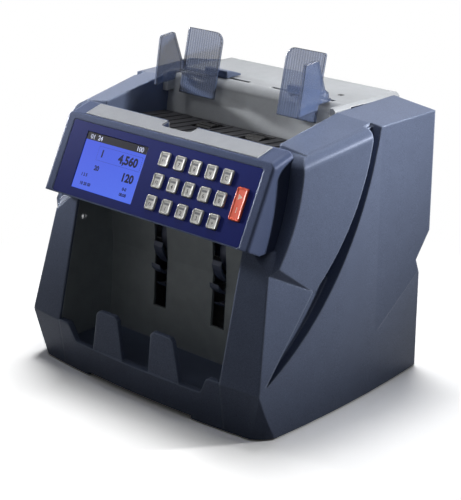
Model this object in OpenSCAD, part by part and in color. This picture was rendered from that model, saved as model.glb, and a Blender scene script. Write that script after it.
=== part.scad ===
// Banknote counting machine: top hopper with two sliding guides, sloped console, open stacker pocket in front

/* [Body] */
// Width over the rear shoulders
body_w = 278.6; // [277:0.2:280]
// Plan radius of the bowed sides
side_bow_r = 1000; // [900:20:1200]
// Plan radius of the bowed front
front_bow_r = 1000; // [900:20:1200]
// Radius of the rounded shoulders
shoulder_r = 10; // [7:0.5:11]
// Depth of the curved groove in each side
groove_d = 8; // [5:0.5:9]
// Height of the lower edge above the table
edge_z = 1.5; // [1:0.1:2]

/* [Console] */
// Width of the console
console_w = 232; // [230:0.5:232]
// Lean of the panel from upright
panel_tilt = 27; // [26:0.5:28]
// Width of the overlay sheet
overlay_w = 212; // [208:1:214]
// Height of the overlay sheet
overlay_h = 62.8; // [62:0.2:63.4]

/* [Keys] */
// Width of a key
key_w = 10.7; // [9.5:0.1:11.2]
// Height of a key
key_h = 12; // [11:0.1:12.4]
// Corner radius of a key
key_r = 1.8; // [1:0.1:2.4]
// Height of a key above the overlay
key_rise = 1.3; // [1:0.1:1.8]

/* [Hopper and guides] */
// Depth of the silver strip
strip_d = 17.6; // [15:0.2:18]
// Width of the finger notch
notch_w = 34; // [28:1:40]
// Wall thickness of the clear guides
guide_t = 2.5; // [2:0.1:2.8]
// Height of the guides above the table
guide_top_z = 279.3; // [272:0.5:282]

/* [Stacker] */
// Height of the tray lip
lip_z = 30; // [27:0.5:33]
// Height of the tray tabs
tab_z = 67.5; // [60:0.5:72]
// Radius of the finger wheels
wheel_r = 38; // [36:0.5:39]
// Fingers on each wheel
wheel_fingers = 12; // [8:1:14]

/* [Drive] */
// Radius of the shafts
shaft_r = 4; // [3.5:0.1:4.5]
// Radius of the feed rollers
feed_r = 19; // [18:0.2:19]
// Radius of the pick-up rollers
pickup_r = 14.5; // [14:0.1:15]
// Width of the drive belt
belt_w = 5; // [4:0.2:5]

/* [Hidden] */
$fn = 72;
big_fn = 400;
run_gap = 0.05;
move_gap = 0.35;

// colours
body_blue = [0.34, 0.37, 0.46];
navy = [0.13, 0.14, 0.30];
silver = [0.77, 0.78, 0.80];
smoke = [0.45, 0.50, 0.60, 0.6];
steel = [0.70, 0.71, 0.72];
black = [0.08, 0.08, 0.09];
grey = [0.40, 0.42, 0.44];

// main stations
rear_y = 104;
bay_x = 97;
tray_x = 94.3;
side_x = body_w / 2 - 1.3;
bow_y = 5;
front_lean = 7;
pillar_lean = 14.5;
floor_z = 24;

// side styling: circles of the groove edges and the brow, planes of the front panels and the ledge
groove_rear_c = [-236, 285];
groove_rear_r = 274.5;
groove_front_c = [-167, 254];
groove_front_r = 192.5;
groove_end = [-97, 49];
brow_c = [-202, 223];
brow_r = 150;
skin_p = [side_x + 0.5, 28, 0];
skin_sy = 0.1027;
facet_p = [side_x - 16.2, -81.8, 133.5];
facet_sy = 0.1734;
facet_sz = -0.1617;
head_sx = 0.594;
head_sz = 0.755;
ledge_sy = 0.5381;
ledge_sz = 0.5536;
ledge_end = [-41.2, 112.1];
ledge_rise = 0.764;
crease_p = [body_w / 2, 91, 93.5];
crease_a = 34;
top_p = [bay_x, -48.5, 224.4];
top_sx = -0.142;
top_sy = 0.1545;
block_p = [102, 60, 235.6];
block_sx = -0.125;
bridge_x = 127;

// panel frame: lower middle of the overlay
panel_p = [0, -100, 158];
console_rear_y = -48.5;
console_low_z = 150.2;
face_t = 3.5;
seat_d = 1;
top_u = 68.5;

// keys
key_cols = 5;
key_pitch = [17, -18.1];
key_first = [6.6, 49.7];
key_gap = 0.35;
start_p = [93.6, 31.8];
start_size = [11.4, 26.3];
display_p = [-50.4, 31.4];
display_size = [71.4, 48.4];

// shaft stations in y and z
feed_c = [-27, 184];
pickup_c = [9, 193];
wheel_c = [-12, 96];
motor_c = [40, 62];
plate_x = 101;
plate_t = 2;
belt_x = 106.5;
feed_pulley_r = 10;
pickup_pulley_r = 8.5;
wheel_pulley_r = 18;
motor_pulley_r = 8;
belt_t = 1.4;

// guides
guide_lean = 13.5;
guide_foot = [24, 224];
guide_x = 80.15;
slot_y = 45.5;
cover_z = 239.7;
cover_y = 42;
cover_fall = 0.0371;
cover_t = 2.5;
gear_m = 0.8;
pinion_teeth = 18;
pinion_r = gear_m * pinion_teeth / 2;
pinion_p = [0, 54, 226];
rack_h = 5;
backlash = 0.3;

// rear fittings
inlet_p = [58, 42];
rocker_p = [24, 42];

function pp(u, n) = [
    panel_p[1] + u * sin(panel_tilt) - n * cos(panel_tilt),
    panel_p[2] + u * cos(panel_tilt) + n * sin(panel_tilt)
];
function key_at(i) = key_first + [key_pitch[0] * (i % key_cols), key_pitch[1] * floor(i / key_cols)];
function ledge_up(y) = ledge_end[1] - ledge_rise * (y - ledge_end[0]);
function wall_y(z) = -105.2 + (z - 48) * 0.259;
function inv(rb, t) = rb * [cos(t) + t * PI / 180 * sin(t), sin(t) - t * PI / 180 * cos(t)];
function turn(p, a) = [p[0] * cos(a) - p[1] * sin(a), p[0] * sin(a) + p[1] * cos(a)];

// outline drawn in y and z, swept across the width
module across(x0, x1) {
    translate([x0, 0, 0])
    rotate([90, 0, 90])
    linear_extrude(x1 - x0)
    children();
}

// frame of the sloped panel: x across, y up the slope, z outward
module on_panel() {
    translate(panel_p)
    rotate([90 - panel_tilt, 0, 0])
    children();
}

// frame of the console top: y back along the slope, z outward
module on_top() {
    p = pp(top_u, 0);
    translate([0, p[0], p[1]])
    rotate([atan2(top_p[2] - p[1], console_rear_y - p[0]), 0, 0])
    children();
}

module round_rect(w, h, r) {
    square([w - 2 * r, h], center = true);
    square([w, h - 2 * r], center = true);
    for (sx = [-1, 1], sy = [-1, 1])
        translate([sx * (w / 2 - r), sy * (h / 2 - r)])
        circle(r);
}

// solid inside a plane that faces outward to the right
module inside_x(p, sy, sz) {
    turn_z = -atan(sy);
    translate(p)
    rotate([0, atan(sz * cos(turn_z)), turn_z])
    translate([-400, -400, -400])
    cube([400, 800, 800]);
}

// solid behind a plane that faces the front
module behind_y(p, sx, sz) {
    rotate([0, 0, -90])
    inside_x([-p[1], p[0], p[2]], -sx, -sz);
}

// solid under a plane that faces up
module below_z(p, sx, sy) {
    turn_y = -atan(sx);
    translate(p)
    rotate([atan(sy * cos(turn_y)), turn_y, 0])
    translate([-400, -400, -400])
    cube([800, 800, 400]);
}

// bowed front: a wide cylinder through a point at mid width, leaning back or forward
module bowed_front(y, z, lean) {
    translate([0, y, z])
    rotate([lean, 0, 0])
    translate([0, front_bow_r, -200])
    cylinder(r = front_bow_r, h = 600, $fn = big_fn);
}

module front_form() {
    intersection() {
        bowed_front(-112.7, 48, -pillar_lean);
        bowed_front(-113.8, 45, front_lean);
    }
}

module bowed_side(x) {
    translate([x - side_bow_r, bow_y, -10])
    cylinder(r = side_bow_r, h = 300, $fn = big_fn);
}

// lower front corner: wide at the table, back to the sharp pillar edge at the top
module corner_cut() {
    p = [105.3, -73.3, 0];
    h = 44;
    difference() {
        translate(p + [0, -60, 0])
        cube([60, 60, h]);
        translate(p)
        cylinder(r1 = 31, r2 = 41.6, h = h);
    }
}

module rear_corner_cut() {
    r = 15;
    p = [side_x - r, rear_y - r, -5];
    difference() {
        translate(p)
        cube([60, 60, 300]);
        translate(p)
        cylinder(r = r, h = 300);
    }
}

module top_form() {
    intersection() {
        below_z(top_p, top_sx, top_sy);
        below_z(block_p, block_sx, 0);
    }
}

// rear skin: bowed below, with a flat flared panel above a bevelled slanted crease
module rear_skin() {
    difference() {
        bowed_side(side_x);
        rear_corner_cut();
    }
    intersection() {
        translate([90, -10, 20])
        cube([60, 120, 240]);
        inside_x([body_w / 2, rear_y, 0], 0.025, 0);
        translate(crease_p)
        rotate([crease_a, 0, 0])
        rotate([0, -45, 0])
        translate([-300, -300, 0])
        cube([600, 600, 600]);
    }
}

// rear and lower panel with the undercut at the back
module rear_panel() {
    intersection() {
        across(tray_x, 150)
        difference() {
            polygon([
                [-120, edge_z], [rear_y, edge_z], [rear_y, 83], [98, 90.5], [91, 93.8],
                [87, 104.5], [rear_y, 127], [rear_y, 260], [-120, 260]
            ]);
            translate(groove_rear_c)
            circle(r = groove_rear_r, $fn = big_fn);
        }
        rear_skin();
        front_form();
        top_form();
    }
    translate([bay_x, 86, 70])
    cube([9, rear_y - 86, 70]);
}

// what the rounded shoulder takes off its edge, drawn square to the edge and swept along it
module shoulder_cut() {
    r = shoulder_r;
    s = -top_sx;
    k = sqrt(1 + s * s);
    c = [-r, s * r - k * r];
    x0 = skin_p[0] - skin_sy * skin_p[1];
    z0 = top_p[2] - top_p[1] * top_sy + (x0 - top_p[0]) * top_sx;
    turn_z = -atan(skin_sy);
    rise = atan((top_sy + top_sx * skin_sy) * cos(turn_z));
    translate([x0, 0, z0])
    rotate([rise, 0, turn_z])
    rotate([90, 0, 0])
    linear_extrude(300, center = true)
    difference() {
        polygon([c, [r, c[1]], [r, r], c + 1.4 * r * [s, 1] / k]);
        translate(c)
        circle(r);
    }
}

// upper front panel with the hollow brow edge and a rounded top corner
module upper_panel() {
    corner = [-42.5, 211];
    corner_r = 10;
    difference() {
        intersection() {
            across(bay_x, 150)
            difference() {
                intersection() {
                    translate(groove_front_c)
                    circle(r = groove_front_r, $fn = big_fn);
                    polygon([[-90, ledge_up(-90)], [-90, 250], [60, 250], [60, ledge_up(60)]]);
                }
                translate(brow_c)
                circle(r = brow_r, $fn = 200);
                difference() {
                    translate(corner - [40, 0])
                    square([40, 60]);
                    translate(corner)
                    circle(corner_r);
                }
            }
            inside_x(skin_p, skin_sy, 0);
            below_z(top_p, top_sx, top_sy);
        }
        shoulder_cut();
    }
}

// flat lower front panel over the pillar, and the pillar head under the console
module lower_panel() {
    top = [facet_p[1], facet_p[2]];
    head_z = console_low_z - 0.2;
    intersection() {
        across(tray_x, 150)
        polygon([[-120, 38], [-120, top[1]], top, ledge_end, groove_end, [-104, 38]]);
        inside_x(facet_p, facet_sy, facet_sz);
        bowed_side(side_x);
        front_form();
    }
    intersection() {
        across(tray_x, facet_p[0])
        polygon([[-110, 100], [-110, head_z], [-48, head_z], [-48, 100]]);
        behind_y(facet_p, head_sx, head_sz);
        front_form();
    }
}

// slanted face from the lower front panel out to the upper one
module ledge() {
    intersection() {
        across(bay_x, 150)
        difference() {
            polygon([[-84, 120], [-84, facet_p[2]], [-79, ledge_up(-79)], ledge_end, [-60, 100]]);
            translate(brow_c)
            circle(r = brow_r, $fn = 200);
        }
        inside_x(facet_p, ledge_sy, ledge_sz);
        front_form();
    }
}

// floor of the groove, under the skins beside it
module groove_floor() {
    intersection() {
        across(bay_x, 150)
        intersection() {
            translate(groove_rear_c)
            circle(r = groove_rear_r + 1.5, $fn = big_fn);
            polygon([[-62, 104], [0, 104], [60, 190], [60, 260], [-10, 260]]);
        }
        bowed_side(side_x - groove_d);
        inside_x(skin_p - [groove_d, 0, 0], skin_sy, 0);
        translate([0, 0, -2])
        top_form();
    }
    intersection() {
        across(bay_x, 150)
        intersection() {
            translate(groove_rear_c)
            circle(r = groove_rear_r + 1.5, $fn = big_fn);
            polygon([[-104, 38], [-92, 38], [-20, 104], [-20, 118], [-62, 118], [-104, 62]]);
        }
        inside_x(facet_p - [groove_d - 1, 0, 0], facet_sy, facet_sz);
        front_form();
    }
}

// top skin that runs over the groove beside the hopper
module groove_bridge() {
    intersection() {
        translate([bay_x, 10, 200])
        cube([bridge_x - bay_x, 50, 60]);
        top_form();
    }
}

// opening that the pocket wall fills, as an outline in y and z
module pocket_side(gap) {
    polygon([
        [wall_y(44) - gap, 44], [wall_y(149.8) - gap, 149.8], [-38, 149.8],
        [-38, floor_z + 0.2 - gap], [-102 - gap, floor_z + 0.2 - gap], [-102 - gap, 44]
    ]);
}

module side_cover() {
    inner_x = 118;
    color(body_blue)
    difference() {
        union() {
            difference() {
                union() {
                    rear_panel();
                    lower_panel();
                }
                corner_cut();
            }
            upper_panel();
            ledge();
            groove_floor();
            groove_bridge();
        }
        translate([bay_x - 10, -47.8, -5])
        cube([10, 200, 270]);
        translate([bay_x - 10, -130, console_low_z - 0.1])
        cube([console_w / 2 + 0.4 - bay_x + 10, 130 + console_rear_y + 0.3, 120]);
        across(bay_x - 10, bay_x + 0.6)
        pocket_side(0.3);
        across(bay_x - 5, inner_x)
        polygon([
            [-38, 8.5], [90, 8.5], [90, 80], [78, 101], [98, 128],
            [98, 200.5], [-40.5, 200.5], [-40.5, 155], [-38, 155]
        ]);
        across(bay_x + 3, inner_x)
        polygon([[-36, 196], [96, 196], [96, 226], [30, 226], [-36, 213]]);
        for (y = [-72, 80])
            translate([116, y, -1])
            cylinder(r = 8.2, h = 5);
    }
}

module side_right() {
    side_cover();
}

module side_left() {
    mirror([1, 0, 0])
    side_cover();
}

module stacker_tab() {
    c = 3;
    translate([0, -105.7, 0])
    rotate([90, 0, 0])
    linear_extrude(4.5)
    polygon([
        [15.3, lip_z - 3], [51.2, lip_z - 3], [44.3, tab_z - c], [44.3 - c, tab_z],
        [19.7 + c, tab_z], [19.7, tab_z - c]
    ]);
}

module front_tray() {
    w = tray_x - 0.1;
    step_z = 45;
    scoop = [
        for (t = [0 : 0.125 : 1])
            [83 - 11 * t, step_z - (step_z - lip_z) * (1 - cos(180 * t)) / 2]
    ];
    color(body_blue)
    difference() {
        union() {
            intersection() {
                front_form();
                union() {
                    translate([-w, -120, edge_z])
                    cube([2 * w, 120 - 48.2, floor_z - edge_z]);
                    translate([0, -104, 0])
                    rotate([90, 0, 0])
                    linear_extrude(20)
                    polygon(concat(
                        [[-w, edge_z], [w, edge_z], [w, step_z]], scoop,
                        [for (i = [len(scoop) - 1 : -1 : 0]) [-scoop[i][0], scoop[i][1]]], [[-w, step_z]]
                    ));
                }
            }
            stacker_tab();
            mirror([1, 0, 0])
            stacker_tab();
        }
        translate([-w + 4, -103, -1])
        cube([2 * w - 8, 51, floor_z - 3]);
        translate([-61, -130, -1])
        cube([122, 40, 5.5]);
    }
}

module key_openings(gap) {
    for (i = [0 : 14])
        translate(key_at(i))
        round_rect(key_w + 2 * gap, key_h + 2 * gap, key_r + gap);
    translate(start_p)
    round_rect(start_size[0] + 2 * gap, start_size[1] + 2 * gap, key_r + gap);
}

// what a rounded edge takes off a square corner at the origin
module edge_cut(r) {
    difference() {
        translate([-r, -r])
        square(3 * r);
        translate([-r, -r])
        circle(r);
    }
}

// both side edges of the console, rounded along the frame's y
module side_edges(r) {
    for (s = [0, 1])
        mirror([s, 0, 0])
        translate([console_w / 2, 0, 0])
        rotate([90, 0, 0])
        linear_extrude(160, center = true)
        edge_cut(r);
}

// finger notch, drawn on the console top
module notch_outline(gap) {
    r = 4;
    translate([0, 30])
    square([notch_w + 2 * gap, 33 + 2 * gap], center = true);
    translate([0, 20 - gap])
    round_rect(notch_w + 2 * gap, 19, r);
}

module console() {
    half = console_w / 2;
    low = pp(-1.2, 0);
    high = pp(top_u, 0);
    color(body_blue)
    difference() {
        across(-half, half)
        polygon([
            low, high, [console_rear_y, top_p[2]], [console_rear_y, console_low_z],
            [low[0] + 13.2, console_low_z]
        ]);
        across(-half + 4, half - 4)
        polygon([
            pp(3.5, -face_t), pp(61.5, -face_t), [console_rear_y + 1, 219.5],
            [console_rear_y + 1, console_low_z + 3], [pp(3.5, -face_t)[0] + 6, console_low_z + 3]
        ]);
        on_panel() {
            translate([0, overlay_h / 2, -seat_d])
            linear_extrude(6)
            round_rect(overlay_w + 0.4, overlay_h + 0.4, 2);
            translate([display_p[0], display_p[1], -face_t - 6])
            linear_extrude(10)
            square(display_size + [0.6, 0.6], center = true);
            translate([0, 0, -face_t - 6])
            linear_extrude(10)
            key_openings(key_gap);
            side_edges(2.5);
        }
        on_top() {
            translate([0, 1.8 + strip_d / 2, -1.4])
            linear_extrude(6)
            square([2 * bay_x - 1, strip_d + 0.4], center = true);
            translate([0, 0, -16])
            linear_extrude(20)
            notch_outline(0.2);
            side_edges(6);
        }
    }
}

module overlay() {
    color(navy)
    on_panel()
    translate([0, 0, -seat_d])
    linear_extrude(seat_d - 0.1)
    difference() {
        translate([0, overlay_h / 2])
        round_rect(overlay_w, overlay_h, 2);
        translate(display_p)
        square(display_size + [0.6, 0.6], center = true);
        key_openings(key_gap);
    }
}

module display() {
    color([0.30, 0.38, 0.90])
    on_panel()
    translate([display_p[0], display_p[1], 0]) {
        translate([0, 0, -face_t - 1])
        linear_extrude(face_t + 0.6)
        square(display_size, center = true);
        translate([0, 0, -face_t - 4])
        linear_extrude(4)
        square(display_size + [7, 6], center = true);
    }
}

// key cap with a flange behind the panel and a stem towards the key board
module key_form(w, h) {
    translate([0, 0, -face_t - 1])
    linear_extrude(face_t + 1 + key_rise)
    round_rect(w, h, key_r);
    translate([0, 0, -face_t - move_gap - 1.05])
    linear_extrude(1.05)
    round_rect(w + 2.4, h + 2.4, key_r);
    translate([0, 0, -face_t - 3.3])
    cylinder(r = 2.5, h = 3);
}

module key(i) {
    color([0.78, 0.77, 0.73])
    on_panel()
    translate(key_at(i))
    key_form(key_w, key_h);
}

module start_key() {
    color([0.90, 0.33, 0.18])
    on_panel()
    translate(start_p)
    key_form(start_size[0], start_size[1]);
}

module key_board() {
    w = 110;
    h = 57;
    color([0.10, 0.35, 0.20])
    on_panel()
    translate([49.5, overlay_h / 2, -face_t - 5.8]) {
        linear_extrude(1.6)
        square([w, h], center = true);
        for (sx = [-1, 1], sy = [-1, 1])
            translate([sx * (w / 2 - 2), sy * (h / 2 - 2), 0])
            cylinder(r = 1.8, h = 5.8);
    }
}

module hopper_strip() {
    color(silver)
    on_top()
    translate([0, 0, -1.4])
    linear_extrude(2)
    difference() {
        translate([0, 1.8 + strip_d / 2])
        square([2 * bay_x - 1.4, strip_d], center = true);
        notch_outline(0);
    }
}

// steel sheet behind the console, front wall of the note path
module path_plate() {
    color(steel)
    difference() {
        across(-bay_x + 0.2, bay_x - 0.2)
        polygon([
            [console_rear_y, 151], [console_rear_y + 1.2, 151],
            [console_rear_y + 1.2, 222], [console_rear_y, 222]
        ]);
        translate([0, console_rear_y, 222])
        cube([notch_w + 0.4, 10, 30], center = true);
    }
}

// hopper floor with a turned-down front edge and two roller slots
module feed_plate() {
    front = [-42, 211];
    back = [27, 204.1];
    t = 2.5;
    color(black)
    difference() {
        union() {
            across(-bay_x, bay_x)
            polygon([
                front + [3, -0.3], back, back - [0, t], front + [t, -t - 0.3],
                front + [t, -11], front + [0, -11], front + [0, -3]
            ]);
            for (x = [-84 : 12 : 84])
                across(x - 0.8, x + 0.8)
                polygon([front + [6, -1], front + [6, 0.3], back + [-4, 0.9], back + [-4, -1]]);
        }
        for (s = [-1, 1])
            translate([s * 28, pickup_c[0], 206])
            cube([21, 25, 12], center = true);
    }
}

// silver cover: flat top, rolled front edge, steep front wall, arms beside the guides
module top_cover() {
    roll_r = 8;
    c = [cover_y, cover_z - roll_r];
    end_y = 112;
    end_z = cover_z - cover_fall * (end_y - cover_y);
    foot = [29, 203];
    arm_x = 91.5;
    arm_y = 25;
    edge = c - [roll_r, 0];
    color(silver)
    difference() {
        union() {
            across(-bay_x, bay_x)
            union() {
                polygon([
                    [cover_y, cover_z], [end_y, end_z], [end_y, end_z - 9], [end_y - cover_t, end_z - 9],
                    [end_y - cover_t, end_z - cover_t], [cover_y, cover_z - cover_t]
                ]);
                intersection() {
                    translate(c)
                    difference() {
                        circle(roll_r);
                        circle(roll_r - cover_t);
                    }
                    translate(c - [roll_r, 0])
                    square(roll_r);
                }
                polygon([edge, edge + [cover_t, 0], foot + [cover_t, 0], foot]);
            }
            for (s = [-1, 1])
                translate([s * (arm_x + bay_x) / 2, (arm_y + cover_y) / 2 + 2, cover_z - 17])
                translate([-(bay_x - arm_x) / 2, -(cover_y - arm_y) / 2 - 2, 0])
                cube([bay_x - arm_x, cover_y - arm_y + 4, 16.8]);
        }
        for (s = [-1, 1]) {
            translate([s * bay_x, 70, cover_z + 0.6])
            rotate([-atan(cover_fall), 0, 0])
            rotate([0, 45, 0])
            cube([6.2, 120, 6.2], center = true);
            translate([s * (12.3 + 80) / 2, slot_y, cover_z])
            cube([80 - 12.3, 4.6, 12], center = true);
        }
    }
}

module rear_cover() {
    t = 3.5;
    top_z = 234.8;
    color(body_blue)
    difference() {
        translate([-bay_x, rear_y - t, 10.6])
        cube([2 * bay_x, t, top_z - 10.6]);
        for (i = [0 : 11], s = [-1, 1])
            translate([s * 45, rear_y, 100 + 6 * i])
            cube([56, 20, 2.4], center = true);
        translate([inlet_p[0], rear_y, inlet_p[1]])
        cube([27.6, 20, 20.6], center = true);
        translate([rocker_p[0], rear_y, rocker_p[1]])
        cube([19.6, 20, 13.4], center = true);
        for (p = rear_screw_at())
            translate([p[0], rear_y - 6, p[1]])
            rotate([-90, 0, 0])
            cylinder(r = 1.6, h = 12);
    }
}

function rear_screw_at() = [for (x = [-88, 88], z = [24, 215]) [x, z]];

module rear_screws() {
    color(steel)
    for (p = rear_screw_at())
        translate([p[0], rear_y, p[1]])
        rotate([-90, 0, 0]) {
            difference() {
                cylinder(r1 = 3.4, r2 = 2.6, h = 1.8);
                for (a = [0, 90])
                    rotate([0, 0, a])
                    translate([0, 0, 1.8])
                    cube([3.4, 0.8, 1.6], center = true);
            }
            translate([0, 0, -3.4])
            cylinder(r = 1.6, h = 3.4);
        }
}

// clear guide: ribbed back plate leaning back, side plate, corner web and flange over the cover
module guide() {
    x0 = 36;
    x1 = 76.3;
    h = (guide_top_z - guide_foot[1]) / cos(guide_lean);
    r = 9;
    edge = 2;
    color(smoke) {
        translate([0, guide_foot[0] + guide_t, guide_foot[1]])
        rotate([-guide_lean, 0, 0])
        rotate([90, 0, 0])
        linear_extrude(guide_t)
        union() {
            translate([x0, 0])
            square([x1 - x0, h - r]);
            translate([x0 + r, 0])
            square([x1 - x0 - r - edge, h]);
            translate([x1 - edge, 0])
            square([edge, h - edge]);
            translate([x0 + r, h - r])
            circle(r);
            translate([x1 - edge, h - edge])
            circle(edge);
        }
        across(guide_x - guide_t / 2, guide_x + guide_t / 2)
        polygon([
            [-1.2, 234.6], [6.4, 275], [8, 276.2], [21.4, 277.3], [23.2, 276.3], [31.5, 252],
            [36, 248.5], [36.6, 245], [36.6, cover_z + 0.9], [24, cover_z + 0.9], [22, 236]
        ]);
        translate([74, 29, cover_z + 0.9])
        cube([guide_x - 74, 3.2, 11.4]);
        translate([46, 28.2, cover_z + 0.9])
        cube([guide_x - 46, 12, guide_t]);
    }
}

// rack with teeth along x, pitch line at y = 0, a space at x = 0
module rack_outline(x0, x1, depth) {
    p = PI * gear_m;
    a = gear_m * 0.95;
    d = gear_m * 1.3;
    half = p / 4 - backlash / 4;
    lean = tan(20);
    translate([x0, -depth])
    square([x1 - x0, depth - d]);
    for (i = [ceil(x0 / p + 0.5) : floor(x1 / p - 1)])
        translate([(i + 0.5) * p, 0])
        polygon([
            [-half - lean * d, -d - 0.1], [half + lean * d, -d - 0.1],
            [half - lean * a, a], [-half + lean * a, a]
        ]);
}

// opaque foot: wedge on the cover and a neck through the slot
module foot_wedge(neck_low) {
    z0 = cover_z + 0.6;
    across(34, 60)
    polygon([[40.2, z0], [58, z0], [58, z0 + 1.4], [45, z0 + 6], [40.2, z0 + 6]]);
    translate([46, slot_y - 1.7, neck_low])
    cube([12, 3.4, z0 - neck_low + 0.5]);
}

module foot_left() {
    color(body_blue) {
        mirror([1, 0, 0])
        foot_wedge(pinion_p[2] + rack_h - 0.5);
        translate([0, pinion_p[1] - pinion_r, pinion_p[2]])
        linear_extrude(rack_h)
        rack_outline(-58, 20, 5.4);
    }
}

module foot_right() {
    z = pinion_p[2] + rack_h + 1;
    color(body_blue) {
        foot_wedge(z);
        translate([46, slot_y - 1.7, z])
        cube([12, pinion_p[1] + pinion_r + 5.4 - slot_y + 1.7, 3]);
        translate([46, pinion_p[1] + pinion_r + 1.3, pinion_p[2] + 1])
        cube([12, 4.1, rack_h + 1]);
        translate([0, pinion_p[1] + pinion_r, pinion_p[2]])
        rotate([0, 0, 180])
        linear_extrude(rack_h)
        rack_outline(-58, 20, 5.4);
    }
}

module pinion() {
    base_r = pinion_r * cos(20);
    tip_r = pinion_r + gear_m * 0.95;
    root_r = pinion_r - gear_m * 1.25;
    t_tip = sqrt(pow(tip_r / base_r, 2) - 1) * 180 / PI;
    t_pitch = sqrt(pow(pinion_r / base_r, 2) - 1) * 180 / PI;
    at_pitch = inv(base_r, t_pitch);
    shift = 90 / pinion_teeth - backlash / 4 / pinion_r * 180 / PI + atan2(at_pitch[1], at_pitch[0]);
    flank = [for (i = [0 : 4]) turn(inv(base_r, t_tip * i / 4), -shift)];
    tooth = concat(
        [turn([root_r - 0.3, 0], -shift)], flank,
        [for (i = [4 : -1 : 0]) [flank[i][0], -flank[i][1]]], [turn([root_r - 0.3, 0], shift)]
    );
    color(black)
    translate(pinion_p)
    linear_extrude(rack_h)
    difference() {
        union() {
            circle(root_r);
            for (i = [0 : pinion_teeth - 1])
                rotate(i * 360 / pinion_teeth + 90)
                polygon(tooth);
        }
        circle(3 + run_gap);
    }
}

// bracket under the cover: rails for the racks, pinion post, four posts to the cover
module rack_bracket() {
    z = 222;
    t = 2.5;
    rail_z = pinion_p[2] - 0.3;
    color(steel) {
        translate([-88, 39, z])
        cube([176, 30, t]);
        for (y = [41.4, 62.6])
            translate([-86, y, z + t - 0.1])
            cube([172, 3.6, rail_z - z - t + 0.1]);
        translate([0, pinion_p[1], z + t - 0.1]) {
            cylinder(r = 5, h = rail_z - z - t + 0.1);
            cylinder(r = 3, h = 8.5);
        }
        for (sx = [-1, 1], y = [50, 58])
            translate([sx * 82, y, z + t - 0.1])
            cylinder(r = 3, h = cover_z - cover_t - cover_fall * (y + 3 - cover_y) - z - t + 0.1);
    }
}

module shaft_hole(c, r) {
    translate([-150, c[0], c[1]])
    rotate([0, 90, 0])
    cylinder(r = r, h = 300);
}

// bent steel chassis with bearing holes
module chassis() {
    color(steel)
    difference() {
        union() {
            translate([-plate_x - plate_t, -37, 8.5])
            cube([2 * (plate_x + plate_t), 123, plate_t]);
            translate([-bay_x + 0.2, -47.8, 8.5])
            cube([2 * bay_x - 0.4, rear_y - 3.6 + 47.8, plate_t]);
            for (s = [-1, 1])
                across(s > 0 ? plate_x : -plate_x - plate_t, s > 0 ? plate_x + plate_t : -plate_x)
                polygon([[-37, 8.5], [86, 8.5], [86, 78], [76, 92], [76, 150], [40, 197], [-37, 197]]);
        }
        for (c = [feed_c, pickup_c, wheel_c])
            shaft_hole(c, shaft_r + run_gap);
        translate([90, motor_c[0], motor_c[1]])
        rotate([0, 90, 0])
        cylinder(r = 9, h = 20);
    }
}

module shaft(c, x0, x1) {
    translate([x0, c[0], c[1]])
    rotate([0, 90, 0])
    cylinder(r = shaft_r, h = x1 - x0);
}

// flanged pulley on a shaft end
module pulley(c, r) {
    for (d = [[belt_x - 1, 0.8, 1.6], [belt_x - 0.2, belt_w + 0.4, 0], [belt_x + belt_w + 0.2, 0.8, 1.6]])
        translate([d[0], c[0], c[1]])
        rotate([0, 90, 0])
        cylinder(r = r + d[2], h = d[1]);
}

module drive_shaft(c, r) {
    color(steel) {
        shaft(c, -plate_x - plate_t - 2, belt_x + belt_w + 2);
        pulley(c, r);
        for (s = [-1, 1])
            translate([s > 0 ? plate_x - 3.3 : -plate_x + 0.3, c[0], c[1]])
            rotate([0, 90, 0])
            cylinder(r = shaft_r + 2, h = 3);
    }
}

// ribbed rubber rollers on a shaft
module rollers(c, r, xs, w) {
    color(black)
    for (x = xs)
        across(x - w / 2, x + w / 2)
        translate(c)
        difference() {
            circle(r);
            circle(shaft_r);
            for (i = [0 : 23])
                rotate(i * 15)
                translate([r, 0])
                circle(0.7);
        }
}

module feed_shaft() {
    drive_shaft(feed_c, feed_pulley_r);
}

module feed_rollers() {
    rollers(feed_c, feed_r, [-60, -22, 22, 60], 14);
}

module pickup_shaft() {
    drive_shaft(pickup_c, pickup_pulley_r);
}

module pickup_rollers() {
    rollers(pickup_c, pickup_r, [-28, 28], 16);
}

module stacker_shaft() {
    drive_shaft(wheel_c, wheel_pulley_r);
}

// one curved finger that trails from the hub to the rim
module finger() {
    hub = 13;
    bend_r = 24;
    t = 1;
    intersection() {
        circle(wheel_r);
        translate([0.3, -20.4])
        difference() {
            circle(bend_r + t);
            circle(bend_r - t);
        }
        polygon([[hub - 4, 3], [hub - 1, -2], [19, -33], [22, -46], [60, -46], [60, 3]]);
    }
}

module stacker_wheels() {
    color([0.20, 0.24, 0.34])
    for (x = [-34, 34])
        across(x - 5, x + 5)
        translate(wheel_c)
        difference() {
            union() {
                circle(14);
                for (i = [0 : wheel_fingers - 1])
                    rotate(i * 360 / wheel_fingers)
                    finger();
            }
            circle(shaft_r);
        }
}

// slotted back plate of the pocket
module pocket_back() {
    t = 2.5;
    front = [[-50, floor_z], [-46, 60], [-43, 100], [-44, 149]];
    color(grey)
    difference() {
        across(-tray_x, tray_x)
        polygon(concat(front, [for (i = [3 : -1 : 0]) front[i] + [t, 0]]));
        for (s = [-1, 1])
            translate([s * 34, -45, 95])
            cube([15, 30, 82], center = true);
    }
}

function wall_screw_at() = [-75.5, 130.6];

module pocket_wall() {
    color(grey)
    difference() {
        across(tray_x, bay_x + 0.6)
        pocket_side(0);
        translate([tray_x - 1, wall_screw_at()[0], wall_screw_at()[1]])
        rotate([0, 90, 0])
        cylinder(r = 1.6, h = 10);
    }
}

module wall_right() {
    pocket_wall();
}

module wall_left() {
    mirror([1, 0, 0])
    pocket_wall();
}

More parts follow.
